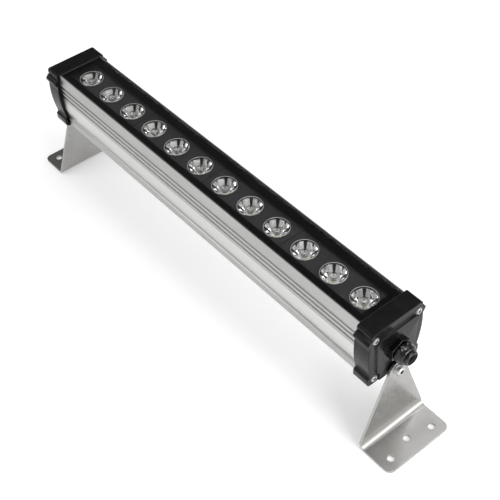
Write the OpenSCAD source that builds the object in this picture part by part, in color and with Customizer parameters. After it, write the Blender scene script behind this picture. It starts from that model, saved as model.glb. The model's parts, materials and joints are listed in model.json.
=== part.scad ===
// Outdoor wall washer light: an extruded bar with twelve lenses in one row, a cast
// cap on each end, a cable gland, and two swivel feet of bent sheet.
// Millimetres. X runs along the bar towards the gland, Z is up, and the feet stand
// on z = 0 with the bar centred over the origin.

/* [Bar] */
// Length over both end caps
bar_len = 500; // [430:1:700]
// Width of the extruded housing
housing_w = 56.4; // [54:0.2:70]
// Height of the extruded housing
housing_h = 66; // [64:0.5:80]
// Height of the pivot bolts above the ground
pivot_h = 88; // [80:0.5:110]
// How far the pivot bolts sit above the underside of the housing
pivot_rise = 5; // [4:0.5:8]

/* [Housing section] */
// How far each side leans in at the top lip
lip_draw = 1.8; // [1:0.2:2.4]
// Thickness of the lip beside the window
lip_t = 1.5; // [1.2:0.1:2]
// Height of the plain band above the side grooves
band_h = 10.5; // [9:0.5:12]
// Side grooves on each flank
groove_count = 3; // [1:1:3]
// Width of one side groove
groove_w = 3; // [2:0.2:3.4]
// Depth of one side groove
groove_d = 1.5; // [0.8:0.1:2]
// Width of the rib between two side grooves
rib_w = 3; // [2:0.2:3.4]
// Height of the slanted band
slant_h = 13; // [9:0.5:15]
// How far the slanted band leans in
slant_in = 3.2; // [2:0.2:4]
// Height of the bead along the foot of the housing
bead_h = 8; // [6:0.5:9]
// How far the bead stays inside the widest line
bead_in = 1.7; // [1.2:0.1:2.2]
// Depth of the step line over the bead
step_d = 1.9; // [1.2:0.1:2.4]
// Height of the step line over the bead
step_h = 2.5; // [1.5:0.1:3]
// Chamfer along the underside
foot_chamfer = 1.2; // [0.6:0.1:2]
// Wall behind the side grooves
wall_t = 3; // [2:0.2:4]
// Floor of the driver chamber
floor_t = 3; // [2:0.2:4]
// Wall beside the driver chamber
chamber_wall = 4; // [3:0.2:5]
// Deck that carries the LED boards
deck_t = 4; // [3.4:0.2:6]
// Width of the ledge under the pane
ledge_w = 3.9; // [3.4:0.1:4.4]
// Thickness of the ledge under the pane
ledge_t = 2; // [1.6:0.1:3]

/* [Window] */
// How far the pane lies below the lip
glass_set = 0.5; // [0.2:0.1:1]
// Thickness of the pane
glass_t = 4; // [3:0.5:5]
// Gap round the pane
glass_gap = 0.2; // [0.1:0.05:0.4]
// Thickness of the black border under the pane
mask_t = 0.3; // [0.2:0.05:0.6]
// Width of the clear window
window_w = 32.4; // [30:0.2:36]
// Visible width of the border at each end of the bar
window_end = 8; // [4:0.5:12]
// Thickness of the seal under the border
seal_t = 1; // [0.6:0.1:2]

/* [Lenses] */
// Diameter of one lens
lens_d = 25.4; // [20:0.2:27]
// Height of one lens
lens_h = 12.5; // [10:0.5:14]
// Thickness of the flange round a lens
lens_flange_t = 2; // [1.2:0.1:2.4]
// Diameter of a lens at its foot
lens_foot_d = 10; // [9:0.2:12]
// Gap between the border and the lens fronts
lens_gap = 2.6; // [1.4:0.1:4]
// How far a lens stands proud of its tray
lens_proud = 0.7; // [0.3:0.1:1.2]
// Width of the seat under a lens flange
lens_seat = 1.2; // [0.8:0.1:1.8]
// Gap between two trays
tray_gap = 0.6; // [0.3:0.1:1.2]
// Gap between the trays and the ledges
tray_side_gap = 1; // [0.5:0.1:2]
// Thickness of a tray's front
tray_t = 2; // [1.6:0.1:3]
// Thickness of a tray's side walls
tray_wall = 1.2; // [0.8:0.1:2]
// Space left past the last tray at each end
tray_end_gap = 3.5; // [2:0.5:6]

/* [LED boards] */
// Thickness of an LED board
board_t = 1.6; // [1:0.1:2]
// Thickness of the thermal pad under a board
pad_t = 0.5; // [0.3:0.1:1]
// Gap between two boards
board_gap = 1.2; // [1:0.1:2]
// Width of an LED package
led_w = 3.5; // [3:0.1:4]
// Height of an LED package under its dome
led_h = 0.9; // [0.6:0.1:1.2]
// Height of the lens foot above a board
lens_lift = 3.2; // [2.8:0.1:5]
// Diameter of the link wires and feed wires
wire_d = 1; // [0.8:0.1:1.1]

/* [Driver] */
// Length of the driver case
driver_len = 180; // [120:1:220]
// Width of the driver case
driver_w = 34; // [30:0.5:36]
// Height of the driver case
driver_h = 22; // [18:0.5:26]
// Wall of the driver case
driver_wall = 1.5; // [1:0.1:2]
// How far the driver lies from the middle of the bar
driver_shift = -20; // [-30:1:0]

/* [End caps] */
// Depth of an end cap along the bar
cap_len = 18.5; // [15:0.5:24]
// How far a cap rises above the housing
cap_over = 1.5; // [1:0.1:2]
// How far a cap hangs below the housing
cap_under = 1.3; // [1:0.1:2]
// How far the ears reach past the housing's sides
ear_reach = 5.8; // [5:0.1:7]
// Height of the upper ears
upper_ear_h = 16; // [15:0.5:18]
// Height of the lower ears
lower_ear_h = 13.8; // [12.6:0.2:15]
// Thickness of a cap's outer wall
cap_wall = 3.5; // [2.5:0.1:5]
// Thickness of the raised panel
panel_t = 2; // [1:0.1:2.2]
// Overhang of the sloped walls at the foot of the panel
panel_bulge = 1.5; // [0.6:0.1:1.8]
// Depth of the seat that takes the housing
seat_depth = 1.2; // [0.8:0.1:2]
// Gap round the housing in that seat
seat_gap = 0.3; // [0.2:0.05:0.5]
// Thickness of the end gaskets
gasket_t = 0.8; // [0.5:0.1:1.2]

/* [Cap screws] */
// Core diameter of the cap screws
screw_d = 3; // [2.6:0.1:3]
// Diameter of a cap screw's head
screw_head_d = 6; // [5.6:0.1:6.4]
// Height of a cap screw's head
screw_head_h = 1.7; // [1.6:0.1:3]
// Hex key size of the cap screws
screw_key = 3; // [2:0.5:3]
// Diameter of the washers under the cap screws
washer_d = 7; // [6.6:0.1:7]
// Thickness of those washers
washer_t = 0.5; // [0.4:0.1:1]
// Length of screw inside the housing
screw_grip = 12; // [8:0.5:20]
// Distance of the upper ports from the housing's side
upper_port_in = 3; // [2.9:0.05:3.2]
// Distance of the upper ports below the lip
upper_port_drop = 8; // [8:0.1:9]
// Distance of the lower ports from the housing's side
lower_port_in = 4.6; // [4.2:0.1:5]
// Distance of the lower ports above the underside
lower_port_rise = 6; // [5:0.1:7]

/* [Cable gland] */
// Height of the gland above the pivot bolts
gland_rise = 27; // [25:0.5:29]
// Diameter of the gland's thread
gland_d = 16; // [14:0.5:17]
// Width across the flats of the gland's body
gland_flats = 21; // [19:0.5:23]
// Thickness of the gland's hex flange
gland_flange_t = 5; // [4:0.5:6]
// Gap between the flange and the dome nut
gland_neck = 1.2; // [0.8:0.1:2.5]
// Width across the flats of the dome nut
nut_flats = 20.5; // [19:0.5:22]
// Length of the dome nut
nut_len = 12; // [10:0.5:14]
// Diameter of the dome nut's front
nut_front_d = 16; // [14:0.5:18]
// Diameter of the hole in the dome nut's front
nut_mouth_d = 11.6; // [10:0.2:12]
// Diameter of the cable bore in the seal
gland_bore_d = 8.4; // [5:0.2:8.6]

/* [Swivel feet] */
// Thickness of the sheet
sheet_t = 2.5; // [2:0.1:3]
// Width of a foot
foot_w = 79; // [70:1:100]
// Length of a foot from the back of its upright
foot_len = 40; // [34:0.5:60]
// Inner radius of the bend
bend_r = 6; // [1.5:0.1:8]
// Radius round the pivot bolt
apex_r = 9.8; // [8:0.2:11]
// Radius of the outer corners of a foot
corner_r = 7; // [3:0.5:10]
// Diameter of the fixing holes
hole_d = 7; // [4:0.1:8]
// Distance between the two outer holes
hole_span = 53.4; // [44:0.2:56]
// Distance of the outer holes from the front edge
hole_edge = 11.5; // [10:0.1:13]
// How far the middle hole lies behind the outer holes
hole_back = 6; // [0:0.5:6]

/* [Pivot bolts] */
// Diameter of the pivot bolts
bolt_d = 6; // [5:0.5:6]
// Diameter of a bolt's head
bolt_head_d = 9.6; // [9:0.1:11]
// Height of a bolt's head
bolt_head_h = 3; // [2.5:0.1:4]
// Hex key size of the bolts
bolt_key = 4; // [3:0.5:4]
// Running clearance round the bolt in the foot
bolt_play = 0.08; // [0.04:0.01:0.1]
// Thickness of the spacer between cap and foot
spacer_t = 1.5; // [1:0.1:3]
// Thickness of the plain washer
bolt_washer_t = 0.8; // [0.6:0.1:1.2]
// Thickness of the spring washer
spring_washer_t = 1.2; // [0.8:0.1:1.6]
// Length of the threaded insert
insert_len = 12; // [9:0.5:13]

/* [Hidden] */
$fn = 64;
// How far cuts run past what they cut
over = 1;

// Names of all pieces. ENDS pairs each end's name with its side of the bar
module_count = 4;
ENDS = [["near", 1], ["far", -1]];
MODULE_PIECES = ["lens_tray_", "lens_group_", "led_board_", "led_group_", "thermal_pad_"];
END_PIECES = ["_gasket", "_cap_washers", "_cap_screws", "_foot", "_pivot_bolt", "_bolt_spacer",
    "_bolt_washer", "_spring_washer", "_insert"];

// Heights in the bar
bottom_z = pivot_h - pivot_rise;
top_z = bottom_z + housing_h;
glass_z = top_z - glass_set - glass_t;
mask_z = glass_z - mask_t;
ledge_z = mask_z - seal_t;
lens_front_z = mask_z - lens_gap;
lens_foot_z = lens_front_z - lens_h;
tray_top_z = lens_front_z - lens_proud;
board_top_z = lens_foot_z - lens_lift;
deck_z = board_top_z - board_t - pad_t;
chamber_top_z = deck_z - deck_t;
chamber_z = bottom_z + floor_t;
slant_z = bottom_z + bead_h + step_h;
belly_z = slant_z + slant_h;
cap_top_z = top_z + cap_over;
cap_bottom_z = bottom_z - cap_under;

// Half widths in the bar
half_w = housing_w / 2;
glass_half = half_w - lip_draw - lip_t - glass_gap;
ledge_half = half_w - lip_draw - lip_t - ledge_w;
optic_half = half_w - groove_d - wall_t;
chamber_half = half_w - chamber_wall;
keel_half = chamber_half - slant_in;
tray_half = ledge_half - tray_side_gap;
board_side_gap = 0.3;
board_half = tray_half - tray_wall - board_side_gap;

// Places along the bar
cap_face_x = bar_len / 2;
panel_x = cap_face_x + panel_t;
cap_back_x = cap_face_x - cap_len;
housing_end_x = cap_back_x + seat_depth;
cap_floor_x = housing_end_x + gasket_t;
glass_end_x = housing_end_x - glass_gap;
window_end_x = cap_back_x - window_end;

// Modules of three lenses
lenses_each = 3;
module_len = 2 * (housing_end_x - tray_end_gap) / module_count;
lens_pitch = module_len / lenses_each;

// Screw ports as [y, z]
port_play = 0.05;
port_r = screw_d / 2 + port_play;
port_wall = 1.2;
upper_port = [half_w - upper_port_in, top_z - upper_port_drop];
lower_port = [half_w - lower_port_in, bottom_z + lower_port_rise];
PORTS = [for (p = [upper_port, lower_port], side = [-1, 1]) [side * p[0], p[1]]];

// Well under a lens that the LED dome reaches into
lens_well_r = 3.4;
lens_well_h = 7.6;
lens_well_rise = 0.9;
led_dome_share = 0.74;

// Small screws and wires inside
small_screw_d = 3;
small_head_d = 5.5;
small_head_h = 1.8;
board_screw_end = 0.3;
wire_hole_d = 12;
wire_span = 8;
link_span = 16;
link_len = 8;
lead_len = 5;

// Driver heights
post_d = 6;
post_h = 4;
driver_board_t = 1.6;
driver_board_gap = 1;
driver_floor_z = chamber_z + driver_wall;
driver_board_z = driver_floor_z + post_h;
driver_top_z = driver_board_z + driver_board_t;
driver_board_half = driver_w / 2 - driver_wall - driver_board_gap;
driver_board_end = driver_len / 2 - driver_wall - driver_board_gap;
post_inset = 5;
DRIVER_POSTS = [for (u = [-1, 1], v = [-1, 1])
    [u * (driver_board_end - post_inset), v * (driver_board_half - post_inset)]];
// Places on the driver board as shares of the case's length
CORE_SHARES = [-0.22, 0.3];
CORE_LEN_SHARE = 0.14;
CAN_SHARES = [-0.36, -0.05];
core_w = 20;
core_h = 13;
can_d = 10;
can_h = 14;
// The terminal block stands between the screw heads at its end of the board
terminal_l = 8;
terminal_h = 9;
terminal_gap = 1;
terminal_half = driver_board_half - post_inset - small_head_d / 2 - terminal_gap;

// Fixings of the feet, in order outwards from the cap
spacer_x = panel_x;
foot_x = spacer_x + spacer_t;
foot_face_x = foot_x + sheet_t;
spring_x = foot_face_x + bolt_washer_t;
head_x = spring_x + spring_washer_t;
spacer_d = 14;
bolt_washer_d = 11;
bolt_hole_play = 0.3;
insert_wall = 1.6;
insert_x = cap_face_x - insert_len;
foot_end_x = foot_x + foot_len;
hole_x = foot_end_x - hole_edge;
mid_hole_x = hole_x - hole_back;

bend_top_z = sheet_t + bend_r;
// The tapering edge aims a little inside the round top, so that the two cross cleanly
taper_slack = 0.03;
taper_r = apex_r - taper_slack;
// Direction from the pivot to where that edge ends
taper_a = atan2(bend_top_z - pivot_h, foot_w / 2)
    + acos(taper_r / norm([foot_w / 2, bend_top_z - pivot_h]));
split_w = 1;
insert_d = bolt_d + 2 * insert_wall;
screw_hole_play = 0.3;
key_floor_share = 0.35;

// Gland places and inner sizes
gland_z = pivot_h + gland_rise;
flange_end_x = panel_x + gland_flange_t;
nut_x = flange_end_x + gland_neck;
nut_end_x = nut_x + nut_len;
gland_tube_end_x = nut_x + nut_len / 2;
thread_play = 0.08;
gland_wall = 1.6;
gland_hole_play = 0.3;
lock_nut_t = 5;
lock_nut_flats = 22;
gland_tail = 2;
ring_t = 1;
ring_w = 1.5;
ring_gap = 0.1;
seal_gap = 0.3;
seal_back = 5;
seal_recess = 0.8;
seal_shoulder = 0.8;
seal_d = gland_d - 2 * gland_wall;
seal_x = gland_tube_end_x - seal_back;
gland_tail_x = cap_face_x - cap_wall - lock_nut_t - gland_tail;
dome_h = 7;
dome_steps = 8;
// The turned dome nut just takes the corners off its hexagon
nut_round_share = 0.97;
nut_round_r = nut_round_share * nut_flats / 2 / cos(30);

// Outline of the housing as half widths and heights, from the lip down
function groove_points(i) =
    let (top = top_z - band_h - rib_w / 2 - i * (groove_w + rib_w))
    [
        [half_w, top],
        [half_w - groove_d, top],
        [half_w - groove_d, top - groove_w],
        [half_w, top - groove_w]
    ];

housing_side = concat(
    [[half_w - lip_draw, top_z], [half_w, top_z - band_h]],
    [for (i = [0:groove_count - 1]) each groove_points(i)],
    [
        [half_w, belly_z],
        [half_w - slant_in, slant_z],
        [half_w - bead_in - step_d, slant_z - step_h / 2],
        [half_w - bead_in, bottom_z + bead_h],
        [half_w - bead_in, bottom_z + foot_chamfer],
        [half_w - bead_in - foot_chamfer, bottom_z]
    ]
);

// The same outline without grooves, grown all round
function plain_side(grow) =
    [
        [half_w - lip_draw + grow, top_z + grow],
        [half_w + grow, top_z - band_h],
        [half_w + grow, belly_z],
        [half_w - slant_in + grow, slant_z],
        [half_w - bead_in + grow, bottom_z + bead_h],
        [half_w - bead_in + grow, bottom_z - grow]
    ];

// Ear outlines as shares of [ear reach, ear height], from the top down
upper_ear_shares = [
    [0.02, 1], [0.31, 0.88], [0.31, 0.59], [0.66, 0.56], [0.66, 0.47],
    [1, 0.41], [1, 0.22], [0.83, 0.16], [0.66, 0.08]
];
lower_ear_shares = [[0.17, 0.8], [0.48, 0.71], [0.48, 0.24], [0.36, 0.09], [-0.03, 0]];

// The cap's flank bows out between the ears
flank_top_z = cap_top_z - upper_ear_h;
flank_foot_z = cap_bottom_z + lower_ear_h;
crown_share = 0.7;
crown_out_share = 0.7;
foot_out_share = 0.12;
flank_steps = 10;
crown_z = flank_foot_z + crown_share * (flank_top_z - flank_foot_z);
function flank_half(z) =
    half_w + ear_reach * (crown_out_share
        - (crown_out_share - foot_out_share) * pow((z - crown_z) / (crown_z - flank_foot_z), 2));

cap_side = concat(
    [for (s = upper_ear_shares) [half_w + s[0] * ear_reach, flank_top_z + s[1] * upper_ear_h]],
    [for (i = [0:flank_steps])
        let (z = flank_top_z - i / flank_steps * (flank_top_z - flank_foot_z))
        [flank_half(z), z]],
    [for (s = lower_ear_shares) [half_w + s[0] * ear_reach, cap_bottom_z + s[1] * lower_ear_h]]
);

// Raised panel, cut back round the screws. Its foot bows out past its front
panel_bulge_share = 0.75;
panel_cut = washer_d / 2 + panel_bulge_share * panel_bulge;
panel_rim = 0.4;
panel_steps = 6;
panel_foot_gap = 1;
// Corners of the panel, out and up from the nearest screw, as shares of the cut
panel_top_shares = [-0.93, -0.37];
panel_corner_shares = [-0.09, -1];
panel_flank_shares = [-0.35, 1.52];
panel_neck_shares = [-1, 0.87];
panel_top = upper_port + panel_cut * panel_top_shares;
panel_corner = upper_port + panel_cut * panel_corner_shares;
panel_flank = lower_port + panel_cut * panel_flank_shares;
panel_neck = lower_port + panel_cut * panel_neck_shares;
function panel_side(bulge) = concat(
    [for (i = [1:panel_steps])
        let (t = i / panel_steps)
        [t * panel_top[0], panel_top[1] + bulge * (1 - t * t)]],
    [for (i = [0:panel_steps])
        let (t = i / panel_steps)
        panel_corner + t * (panel_flank - panel_corner) + [4 * bulge * t * (1 - t), 0]],
    [panel_neck]
);

// Hollow of a cap between its ears
cavity_gap = 1;
cavity_top_z = upper_port[1] - panel_cut;
cavity_foot_z = lower_port[1] + panel_cut + cavity_gap;
cavity_half = half_w - cap_wall;
cavity_side = [
    [keel_half, cavity_top_z],
    [cavity_half, cavity_top_z - cap_wall],
    [cavity_half, cavity_foot_z + cap_wall],
    [keel_half, cavity_foot_z]
];

// Both halves of an outline that is given for one side
function mirrored(side) =
    concat(side, [for (i = [len(side) - 1:-1:0]) [-side[i][0], side[i][1]]]);

// Draws an outline in y and z and sweeps it from x0 to x1
module along_bar(x0, x1)
    translate([x0, 0, 0]) rotate([90, 0, 90]) linear_extrude(x1 - x0) children();

// Round bar or hole along x
module rod(x0, x1, d, y = 0, z = 0)
    translate([x0, y, z]) rotate([0, 90, 0]) cylinder(h = x1 - x0, d = d);

// Hexagonal bar along x with corners up and down
module hex_rod(x0, x1, flats, z = 0)
    translate([x0, 0, z]) rotate([0, 90, 0])
        cylinder(h = x1 - x0, d = flats / cos(30), $fn = 6);

// Box from one corner to the opposite one
module block(low, high)
    translate(low) cube(high - low);

// Middle of module m, counted from the far end
function module_x(m) = (m - (module_count + 1) / 2) * module_len;
function lens_x(m, k) = module_x(m) + (k - (lenses_each + 1) / 2) * lens_pitch;
function board_screws_x(m) = [for (side = [-1, 1]) module_x(m) + side * lens_pitch / 2];

// Housing

module housing() color([0.75, 0.75, 0.76]) difference() {
    intersection() {
        union() {
            difference() {
                bar_solid();
                along_bar(-bar_len, bar_len) polygon(mirrored([
                    [optic_half, ledge_z - ledge_t], [optic_half, deck_z]]));
            }
            for (side = [-1, 1])
                rod(-housing_end_x, housing_end_x, 2 * (port_r + port_wall),
                    side * upper_port[0], upper_port[1]);
        }
        bar_solid();
    }
    block([-bar_len, -glass_half - glass_gap, ledge_z], [bar_len, glass_half + glass_gap, top_z + over]);
    block([-bar_len, -ledge_half, ledge_z - ledge_t - over], [bar_len, ledge_half, ledge_z + over]);
    along_bar(-bar_len, bar_len) polygon(mirrored([
        [chamber_half, chamber_top_z], [chamber_half, belly_z],
        [keel_half, slant_z], [keel_half, chamber_z]]));
    for (p = PORTS)
        rod(-bar_len, bar_len, 2 * port_r, p[0], p[1]);
    for (m = [1:module_count], x = board_screws_x(m))
        translate([x, 0, chamber_top_z - over])
            cylinder(h = deck_t + 2 * over, d = small_screw_d + 2 * port_play);
    translate([0, 0, chamber_top_z - over]) cylinder(h = deck_t + 2 * over, d = wire_hole_d);
}

module bar_solid()
    along_bar(-housing_end_x, housing_end_x) polygon(mirrored(housing_side));

// Window

module window_glass() color([0.8, 0.9, 0.95, 0.3])
    block([-glass_end_x, -glass_half, glass_z], [glass_end_x, glass_half, glass_z + glass_t]);

module window_mask() color([0.08, 0.08, 0.08]) difference() {
    block([-glass_end_x, -glass_half, mask_z], [glass_end_x, glass_half, glass_z]);
    block([-window_end_x, -window_w / 2, mask_z - over], [window_end_x, window_w / 2, glass_z + over]);
}

module glass_seal() color([0.15, 0.15, 0.15]) difference() {
    block([-glass_end_x, -glass_half, ledge_z], [glass_end_x, glass_half, mask_z]);
    block([-window_end_x - seal_t, -ledge_half - seal_t, ledge_z - over],
        [window_end_x + seal_t, ledge_half + seal_t, mask_z + over]);
}

// Lenses, trays and LED boards, one of each per module

module lens_tray(m) color([0.12, 0.12, 0.12]) difference() {
    x = module_x(m);
    half = (module_len - tray_gap) / 2;
    flange_z = lens_front_z - lens_flange_t;
    block([x - half, -tray_half, deck_z], [x + half, tray_half, tray_top_z]);
    block([x - half - over, -tray_half + tray_wall, deck_z - over],
        [x + half + over, tray_half - tray_wall, tray_top_z - tray_t]);
    for (k = [1:lenses_each]) {
        translate([lens_x(m, k), 0, flange_z])
            cylinder(h = lens_front_z - flange_z + over, d = lens_d + 2 * port_play);
        translate([lens_x(m, k), 0, deck_z])
            cylinder(h = tray_top_z, d = lens_d - 2 * lens_seat);
    }
}

module lens_group(m) color([0.85, 0.88, 0.9])
    for (k = [1:lenses_each])
        translate([lens_x(m, k), 0, lens_foot_z]) rotate_extrude() polygon([
            [0, lens_well_h + lens_well_rise], [lens_well_r, lens_well_h], [lens_well_r, 0],
            [lens_foot_d / 2, 0],
            [lens_d / 2 - lens_seat - port_play, lens_h - lens_flange_t],
            [lens_d / 2, lens_h - lens_flange_t], [lens_d / 2, lens_h], [0, lens_h]]);

module led_board(m) color([0.9, 0.9, 0.88])
    plate_with_holes(m, deck_z + pad_t, board_t);

module thermal_pad(m) color([0.6, 0.65, 0.75])
    plate_with_holes(m, deck_z, pad_t);

module plate_with_holes(m, z, thickness) difference() {
    half = (module_len - board_gap) / 2;
    block([module_x(m) - half, -board_half, z], [module_x(m) + half, board_half, z + thickness]);
    for (x = board_screws_x(m))
        translate([x, 0, z - over])
            cylinder(h = thickness + 2 * over, d = small_screw_d + 2 * port_play);
}

module led_group(m) color([0.95, 0.9, 0.6])
    for (k = [1:lenses_each]) translate([lens_x(m, k), 0, board_top_z]) {
        block([-led_w / 2, -led_w / 2, 0], [led_w / 2, led_w / 2, led_h]);
        intersection() {
            translate([0, 0, led_h]) sphere(d = led_w * led_dome_share);
            block([-led_w, -led_w, led_h / 2], [led_w, led_w, lens_lift]);
        }
    }

module board_screws() color([0.7, 0.7, 0.7])
    for (m = [1:module_count], x = board_screws_x(m))
        small_screw(x, 0, board_top_z, board_top_z - chamber_top_z - board_screw_end);

// Small screw whose head sits on z and whose shank reaches down
module small_screw(x, y, z, reach) translate([x, y, z]) difference() {
    union() {
        cylinder(h = small_head_h, d = small_head_d);
        translate([0, 0, -reach]) cylinder(h = reach + small_head_h / 2, d = small_screw_d);
    }
    translate([0, 0, small_head_h / 2]) cylinder(h = over, d = small_screw_d / 2, $fn = 6);
}

module link_wires() color([0.75, 0.1, 0.1])
    for (m = [1:module_count - 1], side = [-1, 1])
        rod(module_x(m) + module_len / 2 - link_len / 2, module_x(m) + module_len / 2 + link_len / 2,
            wire_d, side * link_span / 2, board_top_z + wire_d / 2);

module feed_wires() color([0.1, 0.1, 0.1])
    for (side = [-1, 1]) translate([0, side * wire_span / 2, 0]) {
        translate([0, 0, driver_top_z])
            cylinder(h = board_top_z + wire_d / 2 - driver_top_z, d = wire_d);
        translate([0, 0, board_top_z + wire_d / 2]) sphere(d = wire_d);
        rod(0, lead_len, wire_d, 0, board_top_z + wire_d / 2);
    }

// Driver

module driver_case() color([0.3, 0.3, 0.32]) translate([driver_shift, 0, 0]) {
    difference() {
        block([-driver_len / 2, -driver_w / 2, chamber_z],
            [driver_len / 2, driver_w / 2, chamber_z + driver_h]);
        block([-driver_len / 2 + driver_wall, -driver_w / 2 + driver_wall, driver_floor_z],
            [driver_len / 2 - driver_wall, driver_w / 2 - driver_wall, chamber_z + driver_h + over]);
    }
    for (p = DRIVER_POSTS) difference() {
        translate([p[0], p[1], driver_floor_z - driver_wall / 2])
            cylinder(h = post_h + driver_wall / 2, d = post_d);
        translate([p[0], p[1], driver_floor_z])
            cylinder(h = post_h + over, d = small_screw_d + 2 * port_play);
    }
}

module driver_board() color([0.1, 0.4, 0.2]) translate([driver_shift, 0, 0]) difference() {
    block([-driver_board_end, -driver_board_half, driver_board_z],
        [driver_board_end, driver_board_half, driver_top_z]);
    for (p = DRIVER_POSTS)
        translate([p[0], p[1], driver_board_z - over])
            cylinder(h = driver_board_t + 2 * over, d = small_screw_d + 2 * port_play);
}

module driver_parts() color([0.8, 0.7, 0.2]) translate([driver_shift, 0, driver_top_z]) {
    for (s = CORE_SHARES)
        block([(s - CORE_LEN_SHARE / 2) * driver_len, -core_w / 2, 0],
            [(s + CORE_LEN_SHARE / 2) * driver_len, core_w / 2, core_h]);
    for (s = CAN_SHARES)
        translate([s * driver_len, 0, 0]) cylinder(h = can_h, d = can_d);
    block([driver_board_end - terminal_l, -terminal_half, 0],
        [driver_board_end, terminal_half, terminal_h]);
}

module driver_screws() color([0.7, 0.7, 0.7])
    for (p = DRIVER_POSTS)
        small_screw(driver_shift + p[0], p[1], driver_top_z, driver_board_t + post_h - board_screw_end);

// End caps, drawn for the gland end. The blind one is its mirror image

module gland_end_cap() color([0.13, 0.13, 0.13]) difference() {
    cap_body();
    rod(cap_face_x - cap_wall - over, panel_x + over, gland_d + 2 * gland_hole_play, 0, gland_z);
}

module blind_end_cap() color([0.13, 0.13, 0.13]) mirror([1, 0, 0]) cap_body();

module cap_body() difference() {
    union() {
        along_bar(cap_back_x, cap_face_x) polygon(mirrored(cap_side));
        raised_panel();
    }
    along_bar(cap_back_x - over, cap_floor_x) polygon(mirrored(plain_side(seat_gap)));
    along_bar(cap_floor_x - over, cap_face_x - cap_wall) polygon(mirrored(cavity_side));
    for (p = PORTS)
        rod(cap_back_x, cap_face_x + over, screw_d + 2 * screw_hole_play, p[0], p[1]);
    rod(insert_x, cap_face_x, insert_d, 0, pivot_h);
    rod(insert_x, panel_x + over, bolt_d + 2 * bolt_hole_play, 0, pivot_h);
}

module raised_panel() {
    hull() {
        along_bar(cap_face_x - over, cap_face_x) polygon(mirrored(panel_side(panel_bulge)));
        along_bar(panel_x - panel_rim, panel_x) polygon(mirrored(panel_side(0)));
    }
    block([cap_face_x - over, -panel_neck[0], bottom_z + panel_foot_gap],
        [panel_x, panel_neck[0], panel_neck[1]]);
}

module end_gasket() color([0.2, 0.2, 0.2]) difference() {
    along_bar(housing_end_x, cap_floor_x) polygon(mirrored(plain_side(0)));
    along_bar(housing_end_x - over, cap_floor_x + over) polygon(mirrored(cavity_side));
    for (p = PORTS)
        rod(housing_end_x - over, cap_floor_x + over, screw_d + 2 * screw_hole_play, p[0], p[1]);
}

module cap_washers() color([0.8, 0.8, 0.8])
    for (p = PORTS) difference() {
        rod(cap_face_x, cap_face_x + washer_t, washer_d, p[0], p[1]);
        rod(cap_face_x - over, cap_face_x + washer_t + over, screw_d + 2 * screw_hole_play, p[0], p[1]);
    }

module cap_screws() color([0.8, 0.8, 0.8])
    for (p = PORTS)
        socket_screw(housing_end_x - screw_grip, cap_face_x + washer_t, screw_d,
            screw_head_d, screw_head_h, screw_key, p[0], p[1]);

// Socket screw along x whose head sits on head_x
module socket_screw(tip_x, head_x, d, head_d, head_h, key, y, z) difference() {
    union() {
        rod(tip_x, head_x + head_h / 2, d, y, z);
        rod(head_x, head_x + head_h, head_d, y, z);
    }
    translate([head_x + head_h * key_floor_share, y, z]) rotate([0, 90, 0])
        cylinder(h = head_h + over, d = key / cos(30), $fn = 6);
}

// Cable gland

module gland_body() color([0.06, 0.06, 0.06]) difference() {
    union() {
        difference() {
            hex_rod(panel_x, flange_end_x, gland_flats, gland_z);
            rod(panel_x - over, panel_x + ring_t, gland_d + 2 * (ring_w + ring_gap), 0, gland_z);
        }
        rod(gland_tail_x, gland_tube_end_x, gland_d, 0, gland_z);
    }
    rod(gland_tail_x - over, seal_x + over, seal_d - 2 * seal_shoulder, 0, gland_z);
    rod(seal_x, gland_tube_end_x + over, seal_d + 2 * port_play, 0, gland_z);
}

module gland_o_ring() color([0.1, 0.1, 0.1]) difference() {
    rod(panel_x, panel_x + ring_t, gland_d + 2 * ring_w, 0, gland_z);
    rod(panel_x - over, panel_x + ring_t + over, gland_d + 2 * ring_gap, 0, gland_z);
}

module gland_lock_nut() color([0.06, 0.06, 0.06]) difference() {
    hex_rod(cap_face_x - cap_wall - lock_nut_t, cap_face_x - cap_wall, lock_nut_flats, gland_z);
    rod(gland_tail_x, cap_face_x, gland_d + 2 * thread_play, 0, gland_z);
}

module gland_seal() color([0.1, 0.1, 0.1]) difference() {
    union() {
        rod(seal_x, gland_tube_end_x, seal_d, 0, gland_z);
        rod(seal_x, nut_end_x - seal_recess, nut_mouth_d - 2 * seal_gap, 0, gland_z);
    }
    rod(seal_x - over, nut_end_x, gland_bore_d, 0, gland_z);
}

module gland_dome_nut() color([0.06, 0.06, 0.06]) difference() {
    intersection() {
        hex_rod(nut_x, nut_end_x, nut_flats, gland_z);
        translate([nut_x, 0, gland_z]) rotate([0, 90, 0]) rotate_extrude() polygon(concat(
            [[0, 0], [nut_round_r, 0]],
            [for (i = [0:dome_steps])
                let (a = 90 * i / dome_steps)
                [nut_front_d / 2 + (nut_round_r - nut_front_d / 2) * cos(a),
                    nut_len - dome_h + dome_h * sin(a)]],
            [[0, nut_len]]));
    }
    rod(nut_x - over, gland_tube_end_x + seal_gap, gland_d + 2 * thread_play, 0, gland_z);
    rod(nut_x, nut_end_x + over, nut_mouth_d, 0, gland_z);
}

// Swivel feet, drawn for the gland end. The far ones are their mirror images

module swivel_foot() color([0.72, 0.72, 0.73]) difference() {
    union() {
        along_bar(foot_x, foot_face_x) polygon(mirrored([
            [taper_r * cos(taper_a), pivot_h + taper_r * sin(taper_a)],
            [foot_w / 2, bend_top_z]]));
        rod(foot_x, foot_face_x, 2 * apex_r, 0, pivot_h);
        foot_bend();
        foot_plate();
    }
    rod(foot_x - over, foot_face_x + over, bolt_d + 2 * bolt_play, 0, pivot_h);
    for (p = [[hole_x, -hole_span / 2], [hole_x, hole_span / 2], [mid_hole_x, 0]])
        translate([p[0], p[1], -over]) cylinder(h = sheet_t + 2 * over, d = hole_d);
}

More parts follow.
